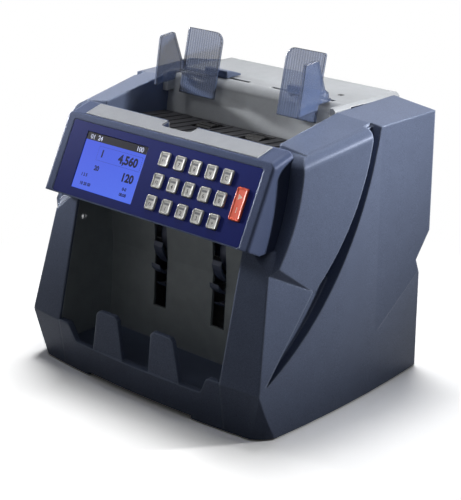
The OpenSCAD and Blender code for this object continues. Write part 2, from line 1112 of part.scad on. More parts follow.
module wall_screws() {
    color(steel)
    for (s = [0, 1])
        mirror([s, 0, 0])
        translate([tray_x, wall_screw_at()[0], wall_screw_at()[1]])
        rotate([0, -90, 0]) {
            difference() {
                cylinder(r1 = 3.2, r2 = 2.4, h = 1.6);
                for (a = [0, 90])
                    rotate([0, 0, a])
                    translate([0, 0, 1.6])
                    cube([3, 0.8, 1.4], center = true);
            }
            translate([0, 0, -3])
            cylinder(r = 1.6, h = 3);
        }
}

// image sensor bar with a glass-side bevel
module sensor_bar() {
    color(black)
    across(-plate_x, plate_x)
    polygon([[-37, 146], [-37, 156], [-34, 160], [-22, 160], [-22, 146]]);
}

module motor() {
    can_r = 17;
    color(steel)
    difference() {
        union() {
            translate([56, motor_c[0], motor_c[1]])
            rotate([0, 90, 0])
            cylinder(r = can_r, h = plate_x - 56);
            translate([52, motor_c[0], motor_c[1]])
            rotate([0, 90, 0])
            cylinder(r = 6, h = 5);
        }
        translate([90, motor_c[0], motor_c[1]])
        rotate([0, 90, 0])
        cylinder(r = 2.5 + run_gap, h = 20);
    }
}

module motor_pulley() {
    color(steel) {
        translate([91, motor_c[0], motor_c[1]])
        rotate([0, 90, 0])
        cylinder(r = 2.5, h = belt_x - 91);
        pulley(motor_c, motor_pulley_r);
    }
}

// outline of a band around the four pulleys, each run tangent to its two pulleys
module band(grow) {
    wheels = [
        [motor_c, motor_pulley_r + grow], [pickup_c, pickup_pulley_r + grow],
        [feed_c, feed_pulley_r + grow], [wheel_c, wheel_pulley_r + grow]
    ];
    n = len(wheels);
    polygon([
        for (i = [0 : n - 1])
            let (
                a = wheels[i], b = wheels[(i + 1) % n], d = b[0] - a[0],
                out = atan2(d[1], d[0]) - acos((a[1] - b[1]) / norm(d)), u = [cos(out), sin(out)]
            )
            each [a[0] + a[1] * u, b[0] + b[1] * u]
    ]);
    for (w = wheels)
        translate(w[0])
        circle(w[1]);
}

module drive_belt() {
    gap = 0.1;
    color(black)
    across(belt_x, belt_x + belt_w)
    difference() {
        band(gap + belt_t);
        band(gap);
    }
}

module main_board() {
    x = -plate_x - plate_t - 4.6;
    color([0.10, 0.35, 0.20]) {
        translate([x, -20, 60])
        cube([1.6, 90, 36]);
        translate([x, -30, 20])
        cube([1.6, 110, 40.5]);
        for (p = [[-26, 24], [75, 24], [-17, 88], [64, 90]])
            translate([x + 1.5, p[0], p[1]])
            rotate([0, 90, 0])
            cylinder(r = 2.5, h = 3.1);
        for (p = [[0, 30, 24, 24, 2], [34, 34, 14, 14, 2], [56, 30, 18, 9, 9], [-20, 44, 10, 10, 5]])
            translate([x - p[4], p[0], p[1]])
            cube([p[4] + 0.1, p[2], p[3]]);
    }
}

module power_supply() {
    color(steel)
    difference() {
        translate([-80, 26, 10.5])
        cube([84, 56, 36]);
        for (i = [0 : 8])
            translate([-72 + 8 * i, 54, 46.5])
            cube([3, 40, 4], center = true);
    }
}

// mains inlet: flange, body and three blades in a keyed socket
module inlet() {
    color(black) {
        difference() {
            union() {
                translate([inlet_p[0], rear_y + 1.25, inlet_p[1]])
                cube([31, 2.5, 24], center = true);
                translate([inlet_p[0], rear_y - 8, inlet_p[1]])
                cube([27, 16.2, 20], center = true);
            }
            translate([inlet_p[0], rear_y + 5, inlet_p[1]])
            rotate([90, 0, 0])
            linear_extrude(16)
            polygon([[-11.5, -7.5], [11.5, -7.5], [11.5, 3], [7, 7.5], [-7, 7.5], [-11.5, 3]]);
        }
        for (p = [[-7, -2], [0, 2], [7, -2]])
            translate([inlet_p[0] + p[0], rear_y - 8, inlet_p[1] + p[1]])
            cube([2, 8, 4], center = true);
    }
}

module switch_frame() {
    color(black)
    difference() {
        union() {
            translate([rocker_p[0], rear_y + 0.9, rocker_p[1]])
            cube([22, 1.8, 16], center = true);
            translate([rocker_p[0], rear_y - 6, rocker_p[1]])
            cube([19.4, 12.1, 13.2], center = true);
        }
        translate([rocker_p[0], rear_y + 1, rocker_p[1]])
        cube([17, 18, 10.4], center = true);
        translate([rocker_p[0], rear_y - 3, rocker_p[1] - 10])
        cylinder(r = 1.5 + run_gap, h = 20);
    }
}

// rocker with its pivot pin, at rest on the off side
module power_rocker() {
    swing = 8;
    color([0.12, 0.12, 0.13])
    translate([rocker_p[0], rear_y - 3, rocker_p[1]])
    rotate([0, 0, -swing]) {
        translate([0, 0, -4.8])
        linear_extrude(9.6)
        intersection() {
            translate([0, -15])
            difference() {
                circle(r = 23.5);
                translate([0, 45])
                circle(r = 24);
            }
            translate([-7.4, -3])
            square([14.8, 12]);
        }
        translate([0, 0, -6.4])
        cylinder(r = 1.5, h = 12.8);
    }
}

module feet() {
    color(black)
    for (sx = [-1, 1], y = [-72, 80])
        translate([sx * 116, y, 0])
        rotate_extrude()
        polygon([[0, 0.6], [5, 0.6], [5.6, 0], [7.2, 0], [8, 0.8], [8, 4], [0, 4]]);
}

module guide_right() {
    guide();
}

module guide_left() {
    mirror([1, 0, 0])
    guide();
}

side_left();
side_right();
front_tray();
console();
overlay();
display();
key(0);  // key_01
key(1);  // key_02
key(2);  // key_03
key(3);  // key_04
key(4);  // key_05
key(5);  // key_06
key(6);  // key_07
key(7);  // key_08
key(8);  // key_09
key(9);  // key_10
key(10);  // key_11
key(11);  // key_12
key(12);  // key_13
key(13);  // key_14
key(14);  // key_15
start_key();
key_board();
hopper_strip();
path_plate();
feed_plate();
top_cover();
rear_cover();
guide_left();
guide_right();
foot_left();
foot_right();
pinion();
rack_bracket();
chassis();
feed_shaft();
feed_rollers();
pickup_shaft();
pickup_rollers();
stacker_shaft();
stacker_wheels();
pocket_back();
wall_left();
wall_right();
wall_screws();
sensor_bar();
motor();
motor_pulley();
drive_belt();
main_board();
power_supply();
inlet();
switch_frame();
power_rocker();
rear_screws();
feet();
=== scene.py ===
import math

import bpy
import numpy as np
from mathutils import Matrix, Vector


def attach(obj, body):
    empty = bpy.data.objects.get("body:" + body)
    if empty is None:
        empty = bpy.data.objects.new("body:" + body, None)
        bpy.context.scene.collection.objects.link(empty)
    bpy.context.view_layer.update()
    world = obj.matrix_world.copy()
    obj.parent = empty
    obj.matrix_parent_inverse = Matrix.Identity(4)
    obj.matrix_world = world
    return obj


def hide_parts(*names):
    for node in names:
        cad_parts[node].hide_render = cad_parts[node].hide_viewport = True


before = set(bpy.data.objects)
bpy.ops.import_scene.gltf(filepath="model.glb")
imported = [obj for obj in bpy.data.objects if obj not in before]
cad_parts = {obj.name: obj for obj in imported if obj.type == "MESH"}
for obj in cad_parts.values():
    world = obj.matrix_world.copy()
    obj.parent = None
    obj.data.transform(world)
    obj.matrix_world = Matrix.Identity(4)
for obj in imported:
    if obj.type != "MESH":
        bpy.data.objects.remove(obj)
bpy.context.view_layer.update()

mm = 0.001
print("frame loaded:", len(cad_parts), "nodes")


# one socket of a node tree, so that shader maths reads as plain arithmetic
class Sock:
    def __init__(self, tree, out):
        self.tree, self.out = tree, out

    # any node: its type, its settings, then its inputs by name or number
    def node(self, kind, settings=None, inputs=None, out=0):
        made = self.tree.nodes.new(kind)
        for name, value in (settings or {}).items():
            setattr(made, name, value)
        for name, value in (inputs or {}).items():
            if isinstance(value, Sock):
                self.tree.links.new(value.out, made.inputs[name])
            else:
                made.inputs[name].default_value = value
        return Sock(self.tree, made.outputs[out])

    # this value first, then the others
    def math(self, operation, *others):
        return self.node("ShaderNodeMath", {"operation": operation}, dict(enumerate((self, *others))))

    # the other value first
    def mathAfter(self, operation, other):
        return self.node("ShaderNodeMath", {"operation": operation}, {0: other, 1: self})

    def __add__(self, other): return self.math("ADD", other)
    def __sub__(self, other): return self.math("SUBTRACT", other)
    def __rsub__(self, other): return self.mathAfter("SUBTRACT", other)
    def __mul__(self, other): return self.math("MULTIPLY", other)
    def __truediv__(self, other): return self.math("DIVIDE", other)
    def __rtruediv__(self, other): return self.mathAfter("DIVIDE", other)
    def __gt__(self, other): return self.math("GREATER_THAN", other)
    def __lt__(self, other): return self.math("LESS_THAN", other)
    __radd__, __rmul__ = __add__, __mul__

    # blend of two colours by a mask from 0 to 1; the node's colours are its sockets 6 and 7, and its output 2
    def mix(self, low, high):
        return self.node("ShaderNodeMix", {"data_type": "RGBA"}, {0: self, 6: low, 7: high}, 2)

    # 0 below low, 1 above high, straight or smooth between
    def ramp(self, low, high, kind="LINEAR"):
        return self.node("ShaderNodeMapRange", {"interpolation_type": kind},
                         {"Value": self, "From Min": low, "From Max": high})


# screen colour, 0 to 255, as the linear colour of a shader, by the sRGB curve
def tone(r, g, b):
    c = np.array([r, g, b]) / 255
    lin = np.where(c <= 0.04045, c / 12.92, ((c + 0.055) / 1.055) ** 2.4)
    return (*[float(v) for v in lin], 1.0)


# empty material and its object coordinates
def newMaterial(name):
    mat = bpy.data.materials.new(name)
    mat.use_nodes = True
    mat.node_tree.nodes.clear()
    where = mat.node_tree.nodes.new("ShaderNodeTexCoord")
    return mat, Sock(mat.node_tree, where.outputs["Object"])


def close(mat, shader):
    end = mat.node_tree.nodes.new("ShaderNodeOutputMaterial")
    mat.node_tree.links.new(shader.out, end.inputs["Surface"])
    return mat


def noise(at, scale, detail=2.0, rough=0.5):
    return at.node("ShaderNodeTexNoise", {},
                   {"Vector": at, "Scale": scale, "Detail": detail, "Roughness": rough})


# relief of a height from 0 to 1, depth in mm
def relief(at, height, strength, depth, normal):
    return at.node("ShaderNodeBump", {},
                   {"Strength": strength, "Distance": depth * mm, "Height": height, "Normal": normal})


edgeFinder = {"samples": 6, "from": 0.01, "full": 0.25}


# rounded normal near edges, and a mask that is 1 on the edges: how far that normal turns from the true one
def softEdge(at, radius):
    normal = at.node("ShaderNodeBevel", {"samples": edgeFinder["samples"]}, {"Radius": radius * mm})
    flat = at.node("ShaderNodeNewGeometry", {}, {}, "True Normal")
    same = at.node("ShaderNodeVectorMath", {"operation": "DOT_PRODUCT"}, {0: normal, 1: flat}, "Value")
    return normal, (1 - same).ramp(edgeFinder["from"], edgeFinder["full"])


# what all moulded finishes share
moulding = {
    "flakeBand": (0.3, 0.7), "cloudBand": (0.25, 0.75), "grainRough": 0.6, "grainDepth": 0.2,
    "grainGloss": 0.12, "edgeGloss": 0.06, "coatRoughness": 0.25,
}


# moulded or painted surface: flakes, slow mottling, fine grain, and paler edges as a painted highlight
def mouldedMaterial(name, look):
    mat, at = newMaterial(name)
    normal, edge = softEdge(at, look["edge"])
    flake = noise(at, look["flakeScale"], 1.0).ramp(*moulding["flakeBand"])
    cloud = noise(at, look["cloudScale"], 3.0).ramp(*moulding["cloudBand"])
    grain = noise(at, look["grainScale"], 3.0, moulding["grainRough"])
    shade = flake * look["flake"] + cloud * (1 - look["flake"])
    colour = shade.mix(tone(*look["dark"]), tone(*look["light"]))
    # painted highlight: the edges are paled towards the edge colour
    colour = (edge * look["edgeHighlight"]).mix(colour, tone(*look["edgeColour"]))
    gloss = (grain - 0.5) * moulding["grainGloss"] - edge * moulding["edgeGloss"]
    shader = at.node("ShaderNodeBsdfPrincipled", {}, {
        "Base Color": colour,
        "Roughness": look["roughness"] + gloss,
        "Metallic": look["metallic"],
        "Coat Weight": look["coat"],
        "Coat Roughness": moulding["coatRoughness"],
        "Specular IOR Level": look["specular"],
        "Normal": relief(at, grain, look["bump"], moulding["grainDepth"], normal),
    })
    return close(mat, shader)


# scales are per metre, edge is the width of the rim in mm, which is paled towards edgeColour as a painted
# highlight
looks = {
    "housing": {
        "dark": (84, 93, 115), "light": (108, 119, 145), "edgeColour": (160, 172, 196), "edgeHighlight": 0.5,
        "flakeScale": 2000.0, "cloudScale": 60.0, "grainScale": 1500.0, "flake": 0.85,
        "roughness": 0.30, "metallic": 0.05, "coat": 0.0, "specular": 0.07, "bump": 0.12, "edge": 2.4,
    },
    # copy of the housing finish, darker and bluer, for the console: painted shade
    "console": {
        "dark": (66, 75, 101), "light": (86, 97, 127), "edgeColour": (132, 144, 172), "edgeHighlight": 0.5,
        "flakeScale": 2000.0, "cloudScale": 60.0, "grainScale": 1500.0, "flake": 0.85,
        "roughness": 0.32, "metallic": 0.05, "coat": 0.0, "specular": 0.05, "bump": 0.12, "edge": 2.4,
    },
    "silver": {
        "dark": (148, 151, 155), "light": (168, 171, 175), "edgeColour": (226, 228, 231), "edgeHighlight": 0.5,
        "flakeScale": 3200.0, "cloudScale": 120.0, "grainScale": 1700.0, "flake": 0.7,
        "roughness": 0.50, "metallic": 0.15, "coat": 0.0, "specular": 0.25, "bump": 0.10, "edge": 0.9,
    },
    # the silver set darker for the hopper strip: painted shade
    "strip": {
        "dark": (128, 131, 137), "light": (148, 151, 157), "edgeColour": (206, 209, 213), "edgeHighlight": 0.6,
        "flakeScale": 3200.0, "cloudScale": 120.0, "grainScale": 1700.0, "flake": 0.7,
        "roughness": 0.45, "metallic": 0.2, "coat": 0.0, "specular": 0.25, "bump": 0.10, "edge": 0.9,
    },
    "pocket": {
        "dark": (128, 134, 137), "light": (148, 154, 157), "edgeColour": (168, 173, 176), "edgeHighlight": 0.4,
        "flakeScale": 2200.0, "cloudScale": 90.0, "grainScale": 1300.0, "flake": 0.5,
        "roughness": 0.50, "metallic": 0.1, "coat": 0.0, "specular": 0.3, "bump": 0.15, "edge": 0.6,
    },
    "black": {
        "dark": (22, 22, 25), "light": (34, 34, 38), "edgeColour": (70, 70, 76), "edgeHighlight": 0.4,
        "flakeScale": 2400.0, "cloudScale": 120.0, "grainScale": 1400.0, "flake": 0.5,
        "roughness": 0.48, "metallic": 0.0, "coat": 0.0, "specular": 0.3, "bump": 0.25, "edge": 0.5,
    },
    "rubber": {
        "dark": (20, 20, 21), "light": (36, 36, 37), "edgeColour": (58, 58, 60), "edgeHighlight": 0.5,
        "flakeScale": 1200.0, "cloudScale": 200.0, "grainScale": 900.0, "flake": 0.4,
        "roughness": 0.78, "metallic": 0.0, "coat": 0.0, "specular": 0.25, "bump": 0.35, "edge": 0.5,
    },
    "wheel": {
        "dark": (48, 56, 78), "light": (60, 68, 92), "edgeColour": (98, 106, 130), "edgeHighlight": 0.5,
        "flakeScale": 1800.0, "cloudScale": 150.0, "grainScale": 1200.0, "flake": 0.4,
        "roughness": 0.46, "metallic": 0.0, "coat": 0.05, "specular": 0.4, "bump": 0.15, "edge": 0.4,
    },
    "steel": {
        "dark": (158, 160, 163), "light": (190, 192, 194), "edgeColour": (215, 216, 218), "edgeHighlight": 0.5,
        "flakeScale": 900.0, "cloudScale": 260.0, "grainScale": 2200.0, "flake": 0.35,
        "roughness": 0.34, "metallic": 0.9, "coat": 0.0, "specular": 0.5, "bump": 0.08, "edge": 0.4,
    },
    "board": {
        "dark": (20, 74, 46), "light": (30, 96, 60), "edgeColour": (150, 150, 110), "edgeHighlight": 0.4,
        "flakeScale": 700.0, "cloudScale": 300.0, "grainScale": 1500.0, "flake": 0.4,
        "roughness": 0.40, "metallic": 0.0, "coat": 0.2, "specular": 0.5, "bump": 0.2, "edge": 0.3,
    },
    "overlay": {
        "dark": (20, 30, 96), "light": (26, 37, 108), "edgeColour": (72, 80, 140), "edgeHighlight": 0.4,
        "flakeScale": 1900.0, "cloudScale": 60.0, "grainScale": 2400.0, "flake": 0.5,
        "roughness": 0.34, "metallic": 0.0, "coat": 0.0, "specular": 0.06, "bump": 0.08, "edge": 0.3,
    },
    "key": {
        "dark": (177, 177, 173), "light": (195, 195, 191), "edgeColour": (228, 228, 225), "edgeHighlight": 0.3,
        "flakeScale": 2500.0, "cloudScale": 300.0, "grainScale": 2000.0, "flake": 0.5,
        "roughness": 0.45, "metallic": 0.0, "coat": 0.1, "specular": 0.4, "bump": 0.10, "edge": 0.4,
    },
    "startKey": {
        "dark": (238, 84, 50), "light": (250, 98, 62), "edgeColour": (255, 160, 130), "edgeHighlight": 0.3,
        "flakeScale": 2500.0, "cloudScale": 300.0, "grainScale": 2000.0, "flake": 0.5,
        "roughness": 0.42, "metallic": 0.0, "coat": 0.15, "specular": 0.4, "bump": 0.10, "edge": 0.4,
    },
}
materials = {name: mouldedMaterial(name, look) for name, look in looks.items()}


# light and dark are mixed by haze and by the ribs, whose stripes are painted light and shade; edgeColour is the
# painted shade at the edges
guideLook = {
    "light": (98, 116, 154), "dark": (75, 91, 126), "edgeColour": (28, 32, 48), "edge": 1.6, "rimFull": 0.35,
    "clear": 0.42, "rimSolid": 0.85, "ribClear": (0.85, 0.3), "ribPitch": 2.6, "ribBump": 0.30, "ribDepth": 0.3,
    "hazeScale": 60.0, "hazeBand": (0.3, 0.7), "hazeShare": 0.5, "hazeGloss": 0.08,
    "roughness": 0.20, "specular": 0.5,
}


# smoky clear plastic: fine upright ribs as a sine along x, with painted light and shade in stripes along the
# ribs, and painted shade at the edges, which are darker and less clear
def guideMaterial(look):
    mat, at = newMaterial("guide")
    normal, edge = softEdge(at, look["edge"])
    x = at.node("ShaderNodeSeparateXYZ", {}, {"Vector": at}, "X")
    rib = (x * (2 * math.pi / (look["ribPitch"] * mm))).math("SINE") * 0.5 + 0.5
    haze = noise(at, look["hazeScale"], 3.0)
    # painted light and shade: the colour follows the rib stripes
    shade = haze.ramp(*look["hazeBand"]) * look["hazeShare"] + rib * (1 - look["hazeShare"])
    # painted shade at the edges: darker and less clear towards the rim
    rim = edge.ramp(0.0, look["rimFull"])
    smoke = shade.mix(tone(*look["dark"]), tone(*look["light"]))
    least, swing = look["ribClear"]
    clear = look["clear"] * (1 - rim * look["rimSolid"]) * (least + rib * swing)
    shader = at.node("ShaderNodeBsdfPrincipled", {}, {
        "Base Color": rim.mix(smoke, tone(*look["edgeColour"])),
        "Roughness": look["roughness"] + haze * look["hazeGloss"],
        "Alpha": 1 - clear,
        "Specular IOR Level": look["specular"],
        "Normal": relief(at, rib, look["ribBump"], look["ribDepth"], normal),
    })
    return close(mat, shader)


materials["guide"] = guideMaterial(guideLook)


nodeLooks = {
    "housing": ["side_left", "side_right", "front_tray", "rear_cover", "foot_left", "foot_right"],
    "console": ["console"],
    "silver": ["top_cover"],
    "strip": ["hopper_strip"],
    "pocket": ["pocket_back", "wall_left", "wall_right"],
    "black": ["feed_plate", "pinion", "sensor_bar", "inlet", "switch_frame", "power_rocker", "display"],
    "rubber": ["feed_rollers", "pickup_rollers", "drive_belt", "feet"],
    "wheel": ["stacker_wheels"],
    "steel": ["path_plate", "chassis", "rack_bracket", "motor", "power_supply", "feed_shaft", "pickup_shaft",
              "stacker_shaft", "motor_pulley", "wall_screws", "rear_screws"],
    "board": ["key_board", "main_board"],
    "overlay": ["overlay"],
    "guide": ["guide_left", "guide_right"],
    "key": [f"key_{i:02d}" for i in range(1, 16)],
    "startKey": ["start_key"],
}
for look, names in nodeLooks.items():
    for name in names:
        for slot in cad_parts[name].material_slots:
            slot.material = materials[look]
print("materials set:", len(materials))


inkPrint = {"scale": 900.0, "band": (0.3, 0.7), "roughness": 0.45, "specular": 0.05}
inks = {
    "keyInk": {"dark": (62, 62, 66), "light": (84, 84, 88), "glow": 0.0},
    "keyBar": {"dark": (118, 120, 124), "light": (136, 138, 142), "glow": 0.0},
    "startInk": {"dark": (250, 206, 188), "light": (255, 222, 206), "glow": 0.0},
    "switchInk": {"dark": (216, 216, 214), "light": (232, 232, 230), "glow": 0.0},
    "screenInk": {"dark": (14, 16, 56), "light": (20, 24, 68), "glow": 0.0},
    "screenText": {"dark": (190, 196, 222), "light": (206, 212, 236), "glow": 0.25},
}


# printed and lit marks, faintly mottled: legends, figures on the screen
def inkMaterial(name, ink):
    mat, at = newMaterial(name)
    cover = noise(at, inkPrint["scale"], 3.0).ramp(*inkPrint["band"])
    colour = cover.mix(tone(*ink["dark"]), tone(*ink["light"]))
    return close(mat, at.node("ShaderNodeBsdfPrincipled", {}, {
        "Base Color": colour, "Roughness": inkPrint["roughness"], "Specular IOR Level": inkPrint["specular"],
        "Emission Color": colour, "Emission Strength": ink["glow"],
    }))


materials.update({name: inkMaterial(name, ink) for name, ink in inks.items()})
print("inks made:", len(inks))


# a plane's foot in mm and its tilt back from upright in degrees
panel = {"foot": (0.0, -100.0, 158.0), "tilt": 27.0}


# across, up the slope and out of a sloped plane, to the machine's x, y and z in mm
def onPlane(points, plane=panel):
    lean = math.radians(plane["tilt"])
    axes = np.array([[1, 0, 0], [0, math.sin(lean), math.cos(lean)], [0, -math.cos(lean), math.sin(lean)]])
    return np.asarray(points, float) @ axes + plane["foot"]


# rounded rectangle as a ring of points: four quarter circles about the corner centres, anticlockwise
def roundRect(w, h, r, steps=7):
    turn = np.linspace(0, np.pi / 2, steps) + np.arange(4)[:, None] * np.pi / 2
    x = np.array([1, -1, -1, 1])[:, None] * (w / 2 - r) + r * np.cos(turn)
    y = np.array([1, 1, -1, -1])[:, None] * (h / 2 - r) + r * np.sin(turn)
    return np.column_stack([x.ravel(), y.ravel()])


# skin over a stack of rings: quads between neighbouring rings, one flat face at each end
def loft(rings):
    levels, count, _ = rings.shape
    here = np.arange(levels * count).reshape(levels, count)
    there = np.roll(here, -1, 1)
    quads = np.stack([here[:-1], there[:-1], there[1:], here[1:]], -1).reshape(-1, 4)
    return rings.reshape(-1, 3), quads.tolist() + [here[0, ::-1].tolist(), here[-1].tolist()]


leastCorner = 0.3


# cap on a plane: the outline drawn in by each inset of the profile and lifted to its height
def capSkin(centre, size, corner, profile, plane=panel):
    rings = []
    for inset, out in profile:
        ring = roundRect(size[0] - 2 * inset, size[1] - 2 * inset, max(corner - inset, leastCorner))
        rings.append(np.insert(ring + centre, 2, out, 1))
    points, faces = loft(np.stack(rings))
    return onPlane(points, plane), faces


# flat lettering about a centre, as points in the plane and faces
def lettering(words, size, bold=0.0):
    curve = bpy.data.curves.new("lettering", "FONT")
    curve.body, curve.size, curve.offset, curve.resolution_u = words, size, bold * size, 4
    curve.align_x, curve.align_y = "CENTER", "CENTER"
    carrier = bpy.data.objects.new("lettering", curve)
    mesh = bpy.data.meshes.new_from_object(carrier)
    flat = np.empty(len(mesh.vertices) * 3)
    mesh.vertices.foreach_get("co", flat)
    faces = [list(face.vertices) for face in mesh.polygons]
    bpy.data.objects.remove(carrier)
    bpy.data.curves.remove(curve)
    bpy.data.meshes.remove(mesh)
    return flat.reshape(-1, 3)[:, :2], faces


# flat sign of one face, from its outline
def sign(outline):
    return outline, [list(range(len(outline)))]


# lettering or a flat sign laid on the panel at a centre and a height
def printed(shape, centre, out):
    points, faces = shape
    return onPlane(np.insert(np.asarray(points) + centre, 2, out, 1)), faces


sharpAngle = 32


# one piece of several skins, each with its own finish
def makePiece(name, skins, finishes, body, hides=()):
    starts = np.cumsum([0] + [len(points) for points, _ in skins])
    faces = [(np.array(face) + start).tolist() for (_, loops), start in zip(skins, starts) for face in loops]
    finish = np.repeat(np.arange(len(skins)), [len(loops) for _, loops in skins])
    mesh = bpy.data.meshes.new(name)
    mesh.from_pydata((np.concatenate([points for points, _ in skins]) * mm).tolist(), [], faces)
    used = list(dict.fromkeys(finishes))
    for one in used:
        mesh.materials.append(materials[one])
    mesh.polygons.foreach_set("material_index", np.array([used.index(one) for one in finishes])[finish])
    mesh.polygons.foreach_set("use_smooth", np.ones(len(faces), bool))
    mesh.set_sharp_from_angle(angle=math.radians(sharpAngle))
    obj = bpy.data.objects.new(name, mesh)
    bpy.context.scene.collection.objects.link(obj)
    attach(obj, body)
    if hides:
        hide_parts(*hides)


keys = {
    "size": (10.7, 12.0), "corner": 1.8, "first": (6.6, 49.7), "pitch": (17.0, -18.1), "columns": 5,
    # inset and height: flange behind the panel, wall, rolled rim, dished top
    "profile": [(-1.2, -4.9), (-1.2, -3.87), (0, -3.87), (0, 0.42), (0.10, 0.80), (0.30, 1.08), (0.60, 1.25),
                (0.92, 1.30), (1.20, 1.24), (1.50, 1.10), (1.85, 1.00), (2.20, 0.97)],
    "inkLift": 1.0,
    "legends": ["F1", "7", "8", "9", "C", "F2", "4", "5", "6", "0", "F3", "1", "2", "3", "+"],
    "letter": 4.6, "pairLetter": 3.68, "bold": 0.01, "legendAt": (0, -1.5),
    "bar": (5.6, 1.7), "barCorner": 0.4, "barSteps": 4, "barAt": (0, 2.5),
}
startKey = {
    "centre": (93.6, 31.8), "size": (11.4, 26.3),
    "arrow": [(-1.9, -2.3), (2.3, 0), (-1.9, 2.3)], "arrowAt": (0, 5.5),
    "sign": "I", "letter": 6.0, "bold": 0.02, "signAt": (0, -5.0),
}


def makeKeys():
    mark = sign(roundRect(*keys["bar"], keys["barCorner"], keys["barSteps"]))
    for i, words in enumerate(keys["legends"]):
        name = f"key_{i + 1:02d}"
        column, row = i % keys["columns"], i // keys["columns"]
        centre = np.array(keys["first"]) + np.array(keys["pitch"]) * (column, row)
        cap = capSkin(centre, keys["size"], keys["corner"], keys["profile"])
        size = keys["letter"] if len(words) == 1 else keys["pairLetter"]
        legend = printed(lettering(words, size, keys["bold"]), centre + keys["legendAt"], keys["inkLift"])
        bar = printed(mark, centre + keys["barAt"], keys["inkLift"])
        makePiece(f"keyCap{i + 1:02d}", [cap, legend, bar], ["key", "keyInk", "keyBar"],
                  f"{name}_body", [name])


def makeStartKey():
    centre = np.array(startKey["centre"])
    cap = capSkin(centre, startKey["size"], keys["corner"], keys["profile"])
    arrow = printed(sign(startKey["arrow"]), centre + startKey["arrowAt"], keys["inkLift"])
    words = lettering(startKey["sign"], startKey["letter"], startKey["bold"])
    bar = printed(words, centre + startKey["signAt"], keys["inkLift"])
    makePiece("startCap", [cap, arrow, bar], ["startKey", "startInk", "startInk"],
              "start_key_body", ["start_key"])


makeKeys()
makeStartKey()
print("key caps made:", len(keys["legends"]) + 1)


screen = {
    "centre": (-50.4, 31.4), "size": (71.4, 48.4), "corner": 0.6, "bar": 6.4,
    "blue": (74, 107, 234), "deep": (56, 81, 218), "black": (12, 12, 22),
    "fadeLean": 0.5, "fadeReach": 40.0, "roughness": 0.22, "specular": 0.3,
    # cells of the field: pitch in mm, share of the gap, how dark it is
    "pixel": 0.55, "gap": 0.16, "gapShade": 0.16, "gapColour": (30, 40, 130),
    # frame round the upper figure, from the middle of the glass: place, half size, half line, overlap, dashes
    "frameAt": (8.0, 8.8), "frameHalf": (25.5, 6.0), "frameLine": 0.22, "frameOver": 0.2,
    "dash": 1.6, "dashGap": 0.45, "frameShade": 0.8, "frameColour": (30, 36, 110),
    # inset and height: body behind the panel, then the edge and the face of the glass
    "body": [(-3.0, -7.5), (-3.0, -3.55), (0, -3.55), (0, -0.60)],
    "glass": [(0, -0.60), (0.2, -0.42), (0.5, -0.40)],
    # words, size, place from the middle of the glass
    "figures": [("4,560", 10.0, (18.5, 8.6)), ("120", 9.4, (23.5, -5.2)), ("1", 8.4, (-12.0, 8.8)),
                ("20", 5.6, (-13.5, -4.0)), ("10 20 50", 3.6, (-21.0, -19.0)), ("00:00", 3.6, (24.0, -19.0)),
                ("1 2 5", 3.6, (-25.0, -11.6)), ("0-0", 3.6, (24.0, -14.2))],
    "heading": [("01  24", 5.6, (-24.0, 20.7)), ("100", 5.6, (27.5, 20.7))],
    "figureBold": 0.045, "headingBold": 0.02, "inkLift": -0.38,
}


# lit glass: black bar on top, blue field with a fine grid of cells and a dotted frame round the upper figure
def screenMaterial(look):
    mat, at = newMaterial("screen")
    x, y, z = (at.node("ShaderNodeSeparateXYZ", {}, {"Vector": at}, axis) for axis in "XYZ")
    (_, footY, footZ), lean = panel["foot"], math.radians(panel["tilt"])
    across = x / mm - look["centre"][0]
    up = (y / mm - footY) * math.sin(lean) + (z / mm - footZ) * math.cos(lean) - look["centre"][1]
    fade = (across * look["fadeLean"] - up).ramp(-look["fadeReach"], look["fadeReach"])
    blue = fade.mix(tone(*look["deep"]), tone(*look["blue"]))
    inColumn, inRow = ((way / look["pixel"]).math("FRACT") > look["gap"] for way in (across, up))
    blue = ((1 - inColumn * inRow) * look["gapShade"]).mix(blue, tone(*look["gapColour"]))
    offX, offY = ((way - middle).math("ABSOLUTE") for way, middle in zip((across, up), look["frameAt"]))
    halfX, halfY = look["frameHalf"]
    side = (offX - halfX).math("ABSOLUTE") < look["frameLine"]
    level = (offY - halfY).math("ABSOLUTE") < look["frameLine"]
    inside = (offX < halfX + look["frameOver"]) * (offY < halfY + look["frameOver"])
    dotted = ((across + up) / look["dash"]).math("FRACT") > look["dashGap"]
    border = (side + level).math("MINIMUM", 1.0) * inside * dotted
    blue = (border * look["frameShade"]).mix(blue, tone(*look["frameColour"]))
    top = up > look["size"][1] / 2 - look["bar"]
    return close(mat, at.node("ShaderNodeBsdfPrincipled", {}, {
        "Base Color": tone(*look["black"]),
        "Roughness": look["roughness"],
        "Specular IOR Level": look["specular"],
        "Emission Color": top.mix(blue, tone(*look["black"])),
        "Emission Strength": 1.0,
    }))


def makeScreen():
    materials["screen"] = screenMaterial(screen)
    centre = np.array(screen["centre"])
    skins = [capSkin(centre, screen["size"], screen["corner"], screen[part]) for part in ("body", "glass")]
    finishes = ["black", "screen"]
    for group, bold, ink in (("figures", "figureBold", "screenInk"), ("heading", "headingBold", "screenText")):
        for words, size, place in screen[group]:
            skins.append(printed(lettering(words, size, screen[bold]), centre + place, screen["inkLift"]))
            finishes.append(ink)
    makePiece("displayGlass", skins, finishes, "housing", ["display"])


makeScreen()
print("display made")


window = {
    "plane": {"foot": (70.2, 66.6, 238.79), "tilt": 92.12}, "size": (4.4, 4.4), "corner": 0.6,
    # inset and height: stem in the cover, low rim, sunk pane
    "profile": [(0, -1.5), (0, 0.08), (0.15, 0.20), (0.40, 0.20), (0.55, 0.06)],
}


# small dark window near the right of the top cover
def makeWindow():
    skin = capSkin((0, 0), window["size"], window["corner"], window["profile"], window["plane"])
    makePiece("coverWindow", [skin], ["black"], "housing")


makeWindow()
print("cover window made")


